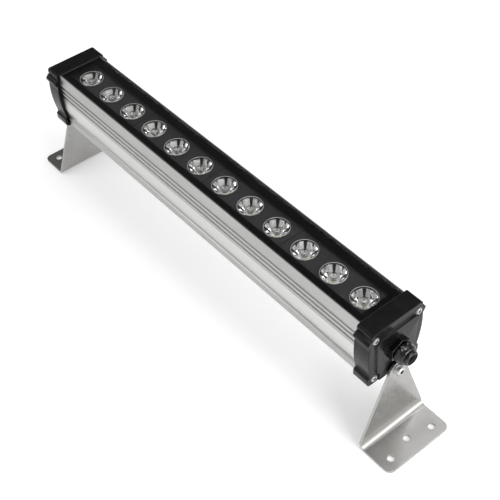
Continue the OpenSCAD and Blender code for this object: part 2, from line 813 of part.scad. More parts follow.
module foot_bend() intersection() {
    translate([foot_x + bend_top_z, foot_w / 2, bend_top_z]) rotate([90, 0, 0]) difference() {
        cylinder(h = foot_w, r = bend_top_z);
        translate([0, 0, -over]) cylinder(h = foot_w + 2 * over, r = bend_r);
    }
    block([foot_x, -foot_w / 2, 0], [foot_x + bend_top_z, foot_w / 2, bend_top_z]);
}

module foot_plate() {
    x0 = foot_x + bend_top_z;
    block([x0, -foot_w / 2, 0], [foot_end_x - corner_r, foot_w / 2, sheet_t]);
    block([x0, -foot_w / 2 + corner_r, 0], [foot_end_x, foot_w / 2 - corner_r, sheet_t]);
    for (side = [-1, 1])
        translate([foot_end_x - corner_r, side * (foot_w / 2 - corner_r), 0])
            cylinder(h = sheet_t, r = corner_r);
}

module pivot_bolt() color([0.8, 0.8, 0.8])
    socket_screw(insert_x + board_screw_end, head_x, bolt_d, bolt_head_d, bolt_head_h, bolt_key, 0, pivot_h);

module bolt_spacer() color([0.1, 0.1, 0.1]) bolt_ring(spacer_x, foot_x, spacer_d);

module bolt_washer() color([0.8, 0.8, 0.8]) bolt_ring(foot_face_x, spring_x, bolt_washer_d);

module spring_washer() color([0.7, 0.7, 0.7]) difference() {
    bolt_ring(spring_x, head_x, bolt_head_d);
    block([spring_x - over, 0, pivot_h - split_w / 2], [head_x + over, bolt_head_d, pivot_h + split_w / 2]);
}

module threaded_insert() color([0.8, 0.65, 0.3]) difference() {
    rod(insert_x, cap_face_x, insert_d, 0, pivot_h);
    rod(insert_x - over, cap_face_x + over, bolt_d + 2 * thread_play, 0, pivot_h);
}

module bolt_ring(x0, x1, d) difference() {
    rod(x0, x1, d, 0, pivot_h);
    rod(x0 - over, x1 + over, bolt_d + 2 * thread_play, 0, pivot_h);
}

// What stands at both ends: side 1 is the gland end, side -1 the blind end
module at_end(side) mirror([side < 0 ? 1 : 0, 0, 0]) children();

housing();
window_glass();
window_mask();
glass_seal();
for (m = [1:module_count]) {
    lens_tray(m);
    lens_group(m);
    led_board(m);
    led_group(m);
    thermal_pad(m);
}
board_screws();
link_wires();
feed_wires();
driver_case();
driver_board();
driver_parts();
driver_screws();
gland_end_cap();
blind_end_cap();
gland_body();
gland_o_ring();
gland_lock_nut();
gland_seal();
gland_dome_nut();
for (e = ENDS) {
    at_end(e[1]) end_gasket();
    at_end(e[1]) cap_washers();
    at_end(e[1]) cap_screws();
    at_end(e[1]) swivel_foot();
    at_end(e[1]) pivot_bolt();
    at_end(e[1]) bolt_spacer();
    at_end(e[1]) bolt_washer();
    at_end(e[1]) spring_washer();
    at_end(e[1]) threaded_insert();
}
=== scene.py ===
import json
import math

import bmesh
import bpy
import numpy as np
from mathutils import Matrix, Vector


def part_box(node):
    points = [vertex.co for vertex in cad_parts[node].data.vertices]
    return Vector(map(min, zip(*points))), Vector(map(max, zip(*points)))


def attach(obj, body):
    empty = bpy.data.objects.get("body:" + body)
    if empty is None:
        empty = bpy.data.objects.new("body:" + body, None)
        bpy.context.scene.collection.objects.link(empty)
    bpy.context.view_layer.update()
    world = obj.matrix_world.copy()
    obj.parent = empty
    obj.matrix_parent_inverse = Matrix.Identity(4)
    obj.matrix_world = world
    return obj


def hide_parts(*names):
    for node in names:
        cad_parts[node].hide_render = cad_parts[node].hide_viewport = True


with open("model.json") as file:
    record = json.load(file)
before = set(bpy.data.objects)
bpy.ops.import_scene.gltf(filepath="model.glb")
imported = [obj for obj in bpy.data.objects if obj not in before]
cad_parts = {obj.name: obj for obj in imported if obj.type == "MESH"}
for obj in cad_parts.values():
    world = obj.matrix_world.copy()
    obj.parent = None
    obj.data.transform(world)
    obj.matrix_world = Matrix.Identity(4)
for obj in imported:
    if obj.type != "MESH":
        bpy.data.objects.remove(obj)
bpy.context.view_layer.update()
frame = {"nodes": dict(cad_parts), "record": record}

MM = 0.001
FULL_TURN = 2 * math.pi

# Meshes: points to a turn and steps to an edge, distance at which doubles merge, and angles
# in degrees
TURN_STEPS = 96
EDGE_STEPS = 4
WELD = 0.001
SMOOTH_ANGLE = 35
FLAT_ANGLE = 0.5
BEVEL_ANGLE = 25
BEVEL_SEGMENTS = 3

# The photograph's camera, in millimetres, degrees and pixels of its 500 pixel frame
FRAME_PX = 500
SENSOR_MM = 36
CAMERA_PLACE = (589.9, -411.1, 776.5)
CAMERA_AZIMUTH = 52.78
CAMERA_ELEVATION = 48.73
CAMERA_ROLL = -3.30
CAMERA_LENS_PX = 983.2
CAMERA_SHIFT_PX = 50.0

# Ends of the light and the way of each along X, and heights of the pivot and the gland
ENDS = {"near": 1, "far": -1}
PIVOT_Z = 88.0
GLAND_Z = 115.0

# Widths of the rounded edges
HOUSING_EDGE = 0.4
CAP_EDGE = 0.6
FOOT_EDGE = 0.3
GLAND_EDGE = 0.4

# Window
PANE_SMOOTH_ANGLE = 20
PANE_LIFT = 0.04
PANE_ARRIS = 0.45
PANE_CORNER_R = 0.6
CORNER_STEPS = 6
BEAD_HALF_WIDTH = 0.75
BEAD_H = 0.9
BEAD_OUT = 0.15
BEAD_SINK = 0.04
BEAD_END_X = 231.2
BEAD_STEPS = 9
LIP_IN = 24.9
LIP_Z = 149.0

# Lenses
LENS_SMOOTH_ANGLE = 30
LENS_PITCH = 38.2
LENSES_EACH = 3
MODULE_COUNT = 4
LENS_R = 12.7
LENS_FRONT_Z = 141.6
LENS_H = 12.5
LENS_FLANGE_T = 2.0
LENS_WALL_H = LENS_H - LENS_FLANGE_T
LENS_WALL_STEPS = 17
LENS_CONE_SHARE = 0.62
LENS_SEAT = 1.25
LENS_FOOT_R = 5.0
LENS_WELL_R = 3.4
LENS_WELL_H = 7.6
LENS_WELL_CROWN = 0.9
LENS_WELL_EDGE = 0.1
LENS_CROWN_STEPS = 9
LENS_FLANGE_EDGE = 0.2
LENS_FRONT_EDGE = 0.3
LEG_TURNS = (0.125, 0.375, 0.625, 0.875)
LEG_HALF_TURN = 0.022
LEG_BOND = 0.1
LEG_T = 0.7
LEG_STEPS = 5
CUP_GAP = 0.8
CUP_T = 0.4
CUP_WALL_STEPS = slice(1, 12)
RIM_W = 0.4
RIM_PROUD = 0.25
RIM_STEPS = 7

# Cap screws as places across and up, with their head sizes
CAP_SCREWS = [(25.2, 141.0), (-25.2, 141.0), (23.6, 89.0), (-23.6, 89.0)]
CAP_FACE_X = 250.0
SCREW_HEAD_R = 3.0
SCREW_HEAD_H = 0.9
SCREW_TOP_R = 2.6
SCREW_KEY = 3.0
SCREW_R = 1.5
SCREW_LEN = 30.0
WASHER_R = 3.5
WASHER_T = 0.2
WASHER_PLAY = 0.3
WASHER_EDGE = 0.2

# Pivot fixings, outwards from the panel
SPACER_X = 252.0
FOOT_X = 253.5
FOOT_FACE_X = 256.0
SPRING_X = 256.8
HEAD_X = 258.0
BOLT_R = 3.0
BOLT_LEN = 19.0
BOLT_HEAD_R = 4.8
BOLT_HEAD_H = 3.0
BOLT_TOP_R = 3.0
BOLT_KEY = 4.0
BOLT_HOLE_R = 3.1
SPACER_R = 7.0
SPACER_EDGE = 0.2
BOLT_WASHER_R = 5.5
BOLT_WASHER_EDGE = 0.15

# Screw and bolt heads: shares of the head's height, and the lead into the key hole
HEAD_SIDE_SHARE = 0.25
KEY_FLOOR_SHARE = 0.25
KEY_WALL_SHARE = 0.3
KEY_LEAD_W = 0.2
KEY_LEAD_H = 0.15
DOME_STEPS = 7

# Cable gland
GLAND_SMOOTH_ANGLE = 32
NUT_X = 258.2
NUT_LEN = 12.0
NUT_FLATS = 20.5
NUT_ROUND_SHARE = 0.97
NUT_FOOT_EDGE = 0.6
NUT_CORNER_Z = 3.2
NUT_SHOULDER_Z = 4.6
NUT_SHOULDER_STEPS = 9
NUT_GROOVE_Z = 8.8
NUT_GROOVE_R = 7.5
# Points of the groove: height above its start, and depth below its radius
NUT_GROOVE = [(0.15, 0.5), (0.5, 0.6), (0.85, 0.4)]
NUT_COLLAR_R = 7.6
NUT_COLLAR_TURN_R = 1.9
NUT_COLLAR_STEPS = 8
NUT_MOUTH_R = 5.8
NUT_MOUTH_TURN_R = 0.5
NUT_MOUTH_TURN_SHARE = 0.3
NUT_THREAD_R = 8.1
NUT_THREAD_LEN = 6.3
SEAL_R = 5.5
SEAL_BORE_R = 4.2
SEAL_LIP_R = 0.6
SEAL_LIP_STEPS = 11
SEAL_BACK_X = 259.2
SEAL_RECESS = 0.8


# Meshes

def add_mesh(name, points, faces, smooth_angle=SMOOTH_ANGLE):
    """Object at the origin from an array of points and lists of corner numbers. Doubles are
    merged, faces turned outwards, and edges flatter than the angle shaded smooth."""
    mesh = bpy.data.meshes.new(name)
    mesh.from_pydata(np.asarray(points).tolist(), [], [list(map(int, f)) for f in faces])
    tidy_mesh(mesh, smooth_angle)
    made = bpy.data.objects.new(name, mesh)
    bpy.context.scene.collection.objects.link(made)
    return made


def tidy_mesh(mesh, smooth_angle, flat_angle=None):
    """Merges doubles, melts flat neighbours where asked, and turns the faces outwards."""
    work = bmesh.new()
    work.from_mesh(mesh)
    bmesh.ops.remove_doubles(work, verts=work.verts, dist=WELD * MM)
    if flat_angle:
        bmesh.ops.dissolve_limit(work, angle_limit=math.radians(flat_angle), verts=work.verts,
                                 edges=work.edges, use_dissolve_boundaries=False)
    bmesh.ops.recalc_face_normals(work, faces=work.faces)
    work.to_mesh(mesh)
    work.free()
    mesh.polygons.foreach_set("use_smooth", np.ones(len(mesh.polygons), bool))
    mesh.set_sharp_from_angle(angle=math.radians(smooth_angle))


def skin(points, round_rings=True, round_steps=True):
    """Quads between neighbouring rings of a grid of points shaped rings, steps, 3. Either
    direction may close on itself. Returns flat points and quads."""
    rings, steps = points.shape[:2]
    ring = np.arange(rings if round_rings else rings - 1)[:, None]
    step = np.arange(steps if round_steps else steps - 1)[None, :]
    below, above = ring * steps, (ring + 1) % rings * steps
    left, right = step, (step + 1) % steps
    quads = np.stack([below + left, below + right, above + right, above + left], -1)
    return points.reshape(-1, 3), quads.reshape(-1, 4)


def joined(parts):
    """Several pairs of points and faces as one pair."""
    starts = np.cumsum([0] + [len(p) for p, _ in parts])
    points = np.concatenate([p for p, _ in parts])
    faces = [face + start for (_, part), start in zip(parts, starts) for face in part]
    return points, faces


def turned(rings):
    """Skin round the local z axis. Each ring is a height and a radius, and the radius is one
    number or one for each step. A ring of no radius closes the skin at a pole; a skin without
    poles closes on its own first ring."""
    angle = np.arange(TURN_STEPS) * FULL_TURN / TURN_STEPS
    heights = np.array([h for h, _ in rings], float)[:, None] * np.ones(TURN_STEPS)
    radii = np.stack([np.broadcast_to(r, TURN_STEPS) for _, r in rings]).astype(float)
    points = np.stack([radii * np.cos(angle), radii * np.sin(angle), heights], -1)
    poles = radii[0].max() == 0 and radii[-1].max() == 0
    return skin(points, round_rings=not poles)


def hex_radius(flats, round_r):
    """Radius round a hexagon with corners at the sides and flats up and down, its corners
    turned off at round_r."""
    angle = np.arange(TURN_STEPS) * FULL_TURN / TURN_STEPS
    sixth = FULL_TURN / 6
    off_flat = angle % sixth - sixth / 2
    return np.minimum(flats / 2 / np.cos(off_flat), round_r)


def along_x(part, side=1, x=0.0, y=0.0, z=0.0):
    """Lays a skin's local z axis along X, towards the given side, and moves it there."""
    points, faces = part
    placed = np.stack([side * (points[:, 2] + x), points[:, 0] + y, points[:, 1] + z], -1)
    return placed * MM, faces


def upright(part, x, z):
    """Leaves a skin's local z axis upright and moves it there."""
    points, faces = part
    return (points + [x, 0.0, z]) * MM, faces


def rounded_box(half, radius):
    """Outline of a rectangle with rounded corners: a quarter turn round each corner's centre.
    Returns the points and the outward way at each."""
    quarter = np.linspace(0, math.pi / 2, CORNER_STEPS + 1)
    angle = quarter + np.arange(4)[:, None] * math.pi / 2
    way = np.stack([np.cos(angle), np.sin(angle)], -1)
    centre = np.array([(1, 1), (-1, 1), (-1, -1), (1, -1)]) * (np.asarray(half) - radius)
    return (centre[:, None, :] + way * radius).reshape(-1, 2), way.reshape(-1, 2)


def carried(path, ways, profile):
    """Skin of a closed profile carried round a closed path. Each point of the profile lies its
    first number outwards from the path and at the height of its second."""
    rings = [np.column_stack([path + ways * out, np.full(len(path), height)])
             for out, height in profile]
    return skin(np.stack(rings))


def soft_edge(height, radius, turn_r, start, steps=EDGE_STEPS):
    """Rings round a convex edge: a quarter turn of radius turn_r that ends at the corner
    given by height and radius. start is 'side' or 'top', the face that it leaves from."""
    angle = np.linspace(0, math.pi / 2, steps + 1)
    if start == "top":
        angle = angle[::-1]
    return [(height - turn_r * (1 - math.sin(a)), radius - turn_r * (1 - math.cos(a)))
            for a in angle]


def dress(piece, nodes, body, material):
    """Gives a piece its finish, hides the nodes that it stands for, if any, and hangs it on
    the body that it rides on."""
    piece.data.materials.clear()
    piece.data.materials.append(material)
    if nodes:
        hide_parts(*nodes)
    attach(piece, body)


def rounded_copy(node, width):
    """Copy of a CAD node with its triangles melted into faces and its edges rounded."""
    mesh = frame["nodes"][node].data.copy()
    made = bpy.data.objects.new(node + "_finished", mesh)
    bpy.context.scene.collection.objects.link(made)
    tidy_mesh(mesh, SMOOTH_ANGLE, FLAT_ANGLE)
    bevel = made.modifiers.new("rounded_edges", "BEVEL")
    bevel.width = width * MM
    bevel.segments = BEVEL_SEGMENTS
    bevel.limit_method = "ANGLE"
    bevel.angle_limit = math.radians(BEVEL_ANGLE)
    bevel.use_clamp_overlap = False
    bevel.harden_normals = True
    return made


# Finishes

# Middle of a noise's range, which holds nearly all of its values
NOISE_MIDDLE = (0.3, 0.7)


def linear(code):
    """Linear colour from an sRGB hex value."""
    parts = [int(code[i:i + 2], 16) / 255 for i in (1, 3, 5)]
    parts = [p / 12.92 if p <= 0.04045 else ((p + 0.055) / 1.055) ** 2.4 for p in parts]
    return (*parts, 1.0)


def add(tree, kind, settings=None, **sockets):
    """Adds a node with its settings and sockets. A socket is named with underscores for
    spaces, or by its identifier, and takes a value or another node's output."""
    made = tree.nodes.new(kind)
    for name, value in (settings or {}).items():
        setattr(made, name, value)
    for name, value in sockets.items():
        socket = next(s for s in made.inputs
                      if name in (s.identifier, s.name.replace(" ", "_")))
        if isinstance(value, bpy.types.NodeSocket):
            tree.links.new(value, socket)
        else:
            socket.default_value = value
    return made


def new_finish(name):
    """An empty material's tree and its object coordinates."""
    made = bpy.data.materials.new(name)
    made.use_nodes = True
    made.node_tree.nodes.clear()
    place = add(made.node_tree, "ShaderNodeTexCoord").outputs["Object"]
    return made, made.node_tree, place


def grain(tree, place, size, stretch=(1, 1, 1), detail=3.0):
    """Noise whose lumps are size millimetres across, times the stretch along each axis."""
    scale = [1 / s for s in stretch]
    placed = add(tree, "ShaderNodeMapping", Vector=place, Scale=scale).outputs["Vector"]
    return add(tree, "ShaderNodeTexNoise", Vector=placed, Scale=1 / (size * MM),
               Detail=detail).outputs["Fac"]


def between(tree, share, low, high):
    """Turns the middle of a noise's range into values from low to high."""
    return add(tree, "ShaderNodeMapRange", Value=share, From_Min=NOISE_MIDDLE[0],
               From_Max=NOISE_MIDDLE[1], To_Min=low, To_Max=high).outputs["Result"]


def blend(tree, share, first, second):
    """Colour from first to second, each a colour or another node's output."""
    mixed = add(tree, "ShaderNodeMix", {"data_type": "RGBA"}, A_Color=first, B_Color=second,
                Factor_Float=share)
    return next(s for s in mixed.outputs if s.enabled)


def shade(tree, share, dark, light):
    """Colour from dark to light by the middle of a noise's range."""
    return blend(tree, between(tree, share, low=0, high=1), linear(dark), linear(light))


def relief(tree, height, depth):
    """Bump from a height share, depth millimetres deep."""
    return add(tree, "ShaderNodeBump", Height=height, Strength=1.0,
               Distance=depth * MM).outputs["Normal"]


def surface(tree, **sockets):
    """The shader and the output that end a material."""
    shader = add(tree, "ShaderNodeBsdfPrincipled", **sockets)
    add(tree, "ShaderNodeOutputMaterial", Surface=shader.outputs["BSDF"])


# Foot of each band of the extrusion, as a height, and its tone: painted shade that stands
# in for how much light each band mirrors
PAINTED_BAND_SHADES = [(0.0, "#a8a8a6"), (92.0, "#b6b6b4"), (98.0, "#c8c8c6"), (106.5, "#cecfcd"),
              (118.0, "#acacaa")]


def extruded_aluminium():
    """Natural anodised extrusion: a satin sheen drawn out along the bar by die lines. Each
    band of the profile gets its own tone by height: painted shade for the light it mirrors."""
    made, tree, place = new_finish("extruded_aluminium")
    lines = grain(tree, place, size=0.8, stretch=(200, 1, 1))
    cloud = grain(tree, place, size=30, stretch=(4, 1, 1))
    height = add(tree, "ShaderNodeSeparateXYZ", Vector=place).outputs["Z"]
    paler = between(tree, cloud, low=0, high=0.08)
    painted_band_shade = linear(PAINTED_BAND_SHADES[0][1])
    # Painted shade: the tone steps by height, band by band, for the light each band mirrors
    for foot, code in PAINTED_BAND_SHADES[1:]:
        above = add(tree, "ShaderNodeMath", {"operation": "GREATER_THAN"}, Value=height,
                    Value_001=foot * MM).outputs["Value"]
        painted_band_shade = blend(tree, above, painted_band_shade, linear(code))
    surface(tree, Base_Color=blend(tree, paler, painted_band_shade, linear("#ffffff")), Metallic=1.0,
            Roughness=between(tree, lines, low=0.34, high=0.42),
            Normal=relief(tree, lines, depth=0.002))
    return made


def brushed_stainless():
    """Cold rolled stainless sheet, brushed across the foot: short streaks that spread its
    reflections one way, and faint clouds left by handling."""
    made, tree, place = new_finish("brushed_stainless")
    streaks = grain(tree, place, size=0.8, stretch=(1, 30, 1))
    cloud = grain(tree, place, size=18, detail=1.0)
    surface(tree, Base_Color=shade(tree, cloud, "#a5a4a2", "#acaba9"), Metallic=1.0,
            Roughness=between(tree, cloud, low=0.24, high=0.28),
            Normal=relief(tree, streaks, depth=0.0005))
    return made


def zinc_plated_steel():
    """Bright zinc on turned steel: sharp glints, slightly uneven where it was tumbled."""
    made, tree, place = new_finish("zinc_plated_steel")
    spots = grain(tree, place, size=0.8)
    surface(tree, Base_Color=shade(tree, spots, "#bcbcba", "#cececd"), Metallic=1.0,
            Roughness=between(tree, spots, low=0.28, high=0.38),
            Normal=relief(tree, spots, depth=0.004))
    return made


def powder_coated_casting():
    """Satin black powder coat on a die casting: fine orange peel that softens its gloss."""
    made, tree, place = new_finish("powder_coated_casting")
    peel = grain(tree, place, size=0.9)
    cloud = grain(tree, place, size=9)
    surface(tree, Base_Color=shade(tree, cloud, "#0d0d0d", "#101010"), IOR=1.26,
            Roughness=between(tree, cloud, low=0.2, high=0.28),
            Normal=relief(tree, peel, depth=0.004))
    return made


def moulded_nylon():
    """Glossy black nylon from a polished mould: clear highlights with a faint ripple."""
    made, tree, place = new_finish("moulded_nylon")
    ripple = grain(tree, place, size=5, detail=1.0)
    surface(tree, Base_Color=shade(tree, ripple, "#040404", "#060606"), IOR=1.5,
            Roughness=between(tree, ripple, low=0.08, high=0.13),
            Normal=relief(tree, ripple, depth=0.003))
    return made


def broached_steel():
    """Raw steel in the bottom of a broached key hole, out of the zinc's reach: dull, and
    darkened further as painted shade for the depth of the hole.
    """
    made, tree, place = new_finish("broached_steel")
    marks = grain(tree, place, size=0.4)
    surface(tree, Base_Color=shade(tree, marks, "#3c3b39", "#555452"), Metallic=1.0,
            Roughness=between(tree, marks, low=0.4, high=0.55),
            Normal=relief(tree, marks, depth=0.004))
    return made


def tooled_silicone():
    """Black silicone sealant, smoothed wet: satin, with soft waves from the tool."""
    made, tree, place = new_finish("tooled_silicone")
    waves = grain(tree, place, size=4, stretch=(3, 3, 1))
    surface(tree, Base_Color=shade(tree, waves, "#080808", "#0d0d0d"), IOR=1.4,
            Roughness=between(tree, waves, low=0.4, high=0.5),
            Normal=relief(tree, waves, depth=0.01))
    return made


def frosted_acrylic():
    """Acrylic rim left from a blasted mould: it scatters light, so it reads as a pale ring."""
    made, tree, place = new_finish("frosted_acrylic")
    blast = grain(tree, place, size=0.6)
    surface(tree, Base_Color=shade(tree, blast, "#b4b4b2", "#c4c4c2"), IOR=1.49,
            Roughness=between(tree, blast, low=0.35, high=0.5),
            Normal=relief(tree, blast, depth=0.005))
    return made


def moulded_white():
    """White polycarbonate for reflector cups: smooth and bright, with a soft gloss."""
    made, tree, place = new_finish("moulded_white_polycarbonate")
    flow = grain(tree, place, size=3)
    surface(tree, Base_Color=shade(tree, flow, "#eeeeec", "#f6f6f4"), IOR=1.58,
            Roughness=between(tree, flow, low=0.25, high=0.35),
            Normal=relief(tree, flow, depth=0.005))
    return made


def plain_nylon():
    """Black nylon, parted off on a lathe: dull, with a fine grain."""
    made, tree, place = new_finish("turned_nylon")
    marks = grain(tree, place, size=0.4)
    surface(tree, Base_Color=shade(tree, marks, "#161616", "#1e1e1e"), IOR=1.53,
            Roughness=between(tree, marks, low=0.45, high=0.6),
            Normal=relief(tree, marks, depth=0.004))
    return made


def fired_enamel():
    """Black ceramic print fired on the back of the pane: even and very dark, and bonded to
    the glass, so that it has no shine of its own."""
    made, tree, place = new_finish("fired_enamel")
    pinholes = grain(tree, place, size=0.6)
    surface(tree, Base_Color=shade(tree, pinholes, "#050505", "#080808"), IOR=1.5,
            Specular_IOR_Level=0.0, Roughness=between(tree, pinholes, low=0.5, high=0.6))
    return made


def moulded_abs():
    """Dark satin ABS from a spark eroded mould: fine grain that keeps its sheen even."""
    made, tree, place = new_finish("moulded_abs")
    texture = grain(tree, place, size=0.5)
    cloud = grain(tree, place, size=25)
    surface(tree, Base_Color=shade(tree, cloud, "#1a1a1a", "#1f1f1f"), IOR=1.35,
            Roughness=between(tree, cloud, low=0.5, high=0.6),
            Normal=relief(tree, texture, depth=0.006))
    return made


def clear_for_shadows(tree, shader, tint):
    """Lets light pass a clear piece: shadow rays go straight through with its tint."""
    path = add(tree, "ShaderNodeLightPath").outputs["Is Shadow Ray"]
    through = add(tree, "ShaderNodeBsdfTransparent", Color=linear(tint)).outputs["BSDF"]
    mixed = add(tree, "ShaderNodeMixShader", Fac=path, Shader=shader.outputs["BSDF"],
                Shader_001=through)
    add(tree, "ShaderNodeOutputMaterial", Surface=mixed.outputs["Shader"])


def toughened_glass():
    """Toughened float glass: nearly colourless, polished, with the faint waves that the
    rollers leave."""
    made, tree, place = new_finish("toughened_glass")
    waves = grain(tree, place, size=60, stretch=(1, 4, 1), detail=0.0)
    shader = add(tree, "ShaderNodeBsdfPrincipled", Base_Color=linear("#fcfcfc"), IOR=1.5,
                 Roughness=0.0, Transmission_Weight=1.0,
                 Normal=relief(tree, waves, depth=0.002))
    clear_for_shadows(tree, shader, "#f6f6f6")
    return made


def moulded_acrylic():
    """Optical acrylic: water clear, polished, with slight flow lines from the gate."""
    made, tree, place = new_finish("moulded_acrylic")
    flow = grain(tree, place, size=3.5, stretch=(1, 1, 3), detail=1.0)
    shader = add(tree, "ShaderNodeBsdfPrincipled", Base_Color=linear("#fdfdfd"), IOR=1.49,
                 Roughness=0.0, Transmission_Weight=1.0,
                 Normal=relief(tree, flow, depth=0.08))
    clear_for_shadows(tree, shader, "#f2f2f2")
    return made


def moulded_rubber():
    """Black sponge and seal rubber: matte, with a slight bloom."""
    made, tree, place = new_finish("moulded_rubber")
    bloom = grain(tree, place, size=1.5)
    surface(tree, Base_Color=shade(tree, bloom, "#181818", "#222222"), IOR=1.5,
            Roughness=between(tree, bloom, low=0.7, high=0.85),
            Normal=relief(tree, bloom, depth=0.01))
    return made


def solder_mask_white():
    """White solder mask over an aluminium board: eggshell gloss with a fine weave."""
    made, tree, place = new_finish("white_solder_mask")
    weave = grain(tree, place, size=0.6)
    surface(tree, Base_Color=shade(tree, weave, "#ececea", "#f4f4f2"), IOR=1.5,
            Roughness=between(tree, weave, low=0.3, high=0.4),
            Normal=relief(tree, weave, depth=0.004))
    return made


def phosphor_silicone():
    """Yellow phosphor under a silicone dome: warm, soft and slightly glossy."""
    made, tree, place = new_finish("phosphor_silicone")
    grains = grain(tree, place, size=0.2)
    surface(tree, Base_Color=shade(tree, grains, "#d8cf9a", "#e6dfae"), IOR=1.42,
            Roughness=between(tree, grains, low=0.2, high=0.3), Coat_Weight=0.5)
    return made


def silicone_pad():
    """Grey blue silicone pad filled with ceramic powder: dull and grainy."""
    made, tree, place = new_finish("filled_silicone_pad")
    powder = grain(tree, place, size=0.3)
    surface(tree, Base_Color=shade(tree, powder, "#a3abb8", "#b3bac5"), IOR=1.4,
            Roughness=between(tree, powder, low=0.7, high=0.8),
            Normal=relief(tree, powder, depth=0.01))
    return made


def wire_sleeve(name, dark, light):
    """Extruded PVC sleeve: smooth, with faint lines along the wire."""
    made, tree, place = new_finish(name)
    lines = grain(tree, place, size=0.4, stretch=(12, 1, 1))
    surface(tree, Base_Color=shade(tree, lines, dark, light), IOR=1.54,
            Roughness=between(tree, lines, low=0.35, high=0.45),
            Normal=relief(tree, lines, depth=0.004))
    return made


def moulded_case():
    """Charcoal polycarbonate case: spark eroded texture, dull sheen."""
    made, tree, place = new_finish("moulded_polycarbonate")
    texture = grain(tree, place, size=0.8)
    surface(tree, Base_Color=shade(tree, texture, "#404044", "#4a4a4e"), IOR=1.58,
            Roughness=between(tree, texture, low=0.5, high=0.65),
            Normal=relief(tree, texture, depth=0.02))
    return made


def solder_mask_green():
    """Green solder mask on glass fibre board: glossy, with the weave just showing."""
    made, tree, place = new_finish("green_solder_mask")
    weave = grain(tree, place, size=0.9)
    surface(tree, Base_Color=shade(tree, weave, "#1c6b3c", "#247a48"), IOR=1.5,
            Roughness=between(tree, weave, low=0.25, high=0.35),
            Normal=relief(tree, weave, depth=0.01))
    return made


def taped_coil():
    """Yellow polyester tape round the coils: smooth film over windings that show through."""
    made, tree, place = new_finish("polyester_coil_tape")
    turns = grain(tree, place, size=0.6, stretch=(1, 20, 1))
    surface(tree, Base_Color=shade(tree, turns, "#b89b33", "#cdb24a"), IOR=1.57,
            Roughness=between(tree, turns, low=0.25, high=0.4),
            Normal=relief(tree, turns, depth=0.03))
    return made


def turned_brass():
    """Turned and knurled brass: warm metal with fine rings."""
    made, tree, place = new_finish("turned_brass")
    rings = grain(tree, place, size=0.3, stretch=(1, 8, 8))
    surface(tree, Base_Color=shade(tree, rings, "#d8b463", "#e6c77c"), Metallic=1.0,
            Roughness=between(tree, rings, low=0.25, high=0.4),
            Normal=relief(tree, rings, depth=0.01))
    return made


FINISHES = {
    "bare_aluminium": extruded_aluminium(),
    "clear_glass": toughened_glass(),
    "black_enamel": fired_enamel(),
    "seal_rubber": moulded_rubber(),
    "black_plastic": moulded_abs(),
    "clear_acrylic": moulded_acrylic(),
    "white_board": solder_mask_white(),
    "led_package": phosphor_silicone(),
    "thermal_rubber": silicone_pad(),
    "zinc_steel": zinc_plated_steel(),
    "red_wire": wire_sleeve("red_wire_sleeve", "#a81818", "#c02222"),
    "black_wire": wire_sleeve("black_wire_sleeve", "#161616", "#202020"),
    "case_plastic": moulded_case(),
    "green_board": solder_mask_green(),
    "driver_plastic": taped_coil(),
    "black_paint": powder_coated_casting(),
    "gland_nylon": moulded_nylon(),
    "brushed_stainless": brushed_stainless(),
    "spacer_nylon": plain_nylon(),
    "insert_brass": turned_brass(),
}
# Raw steel darkened as painted shade, for the inside of the key holes
SOCKET_STEEL_AND_SHADE = broached_steel()
TOOLED_SILICONE = tooled_silicone()
FROSTED_ACRYLIC = frosted_acrylic()
MOULDED_WHITE = moulded_white()


def finish_nodes():
    """Every CAD node takes the finish of its own slot."""
    for part in frame["record"]["subparts"]:
        node = frame["nodes"][part["node"]]
        node.data.materials.clear()
        node.data.materials.append(FINISHES[part["material_slot"]])


# Housing, caps and feet

def round_the_edges():
    """Housing, caps, feet and gland body keep the solids' shapes, with their edges rounded."""
    for node, width, slot, body in [
            ("housing", HOUSING_EDGE, "bare_aluminium", "bar"),
            ("gland_end_cap", CAP_EDGE, "black_paint", "bar"),
            ("blind_end_cap", CAP_EDGE, "black_paint", "bar"),
            ("near_foot", FOOT_EDGE, "brushed_stainless", "near_foot"),
            ("far_foot", FOOT_EDGE, "brushed_stainless", "far_foot"),
            ("gland_body", GLAND_EDGE, "gland_nylon", "bar")]:
        dress(rounded_copy(node, width), [node], body, FINISHES[slot])


# Window and optics

def glass_pane():
    """Flat pane with ground edges: a rounded rectangle's outline, drawn in at top and
    bottom by the width of the arris. It lies a hair above the print, so that the two
    surfaces never share a plane."""
    low, high = (np.array(corner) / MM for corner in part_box("window_glass"))
    half = (high - low)[:2] / 2
    foot_z = low[2] + PANE_LIFT
    levels = [(foot_z, PANE_ARRIS), (foot_z + PANE_ARRIS, 0),
              (high[2] - PANE_ARRIS, 0), (high[2], PANE_ARRIS)]
    rings = []
    for height, inset in levels:
        outline, _ = rounded_box(half - inset, PANE_CORNER_R - inset)
        rings.append(np.column_stack([outline, np.full(len(outline), height)]))
    points, quads = skin(np.stack(rings), round_rings=False)
    count = len(rings[0])
    faces = [*quads, np.arange(count)[::-1], np.arange(count) + count * (len(rings) - 1)]
    pane = add_mesh("glass_pane", points * MM, faces, PANE_SMOOTH_ANGLE)
    dress(pane, ["window_glass"], "bar", FINISHES["clear_glass"])


def glazing_bead():
    """Thin bead of sealant that closes the gap round the pane: a half ellipse carried round
    the pane's edge, with a step where it laps the housing's lip."""
    high = np.array(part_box("window_glass")[1]) / MM
    middle = high[1] + BEAD_OUT
    foot_z = high[2] - BEAD_SINK
    path, ways = rounded_box((BEAD_END_X, middle), PANE_CORNER_R)
    angle = np.linspace(math.asin((LIP_Z - foot_z) / BEAD_H), math.pi, BEAD_STEPS)
    arch = [(BEAD_HALF_WIDTH * math.cos(a), foot_z + BEAD_H * math.sin(a)) for a in angle]
    profile = [*arch, (LIP_IN - middle, foot_z), (LIP_IN - middle, LIP_Z)]
    points, faces = carried(path, ways, profile)
    bead = add_mesh("glazing_bead", points * MM, faces)
    dress(bead, [], "bar", TOOLED_SILICONE)


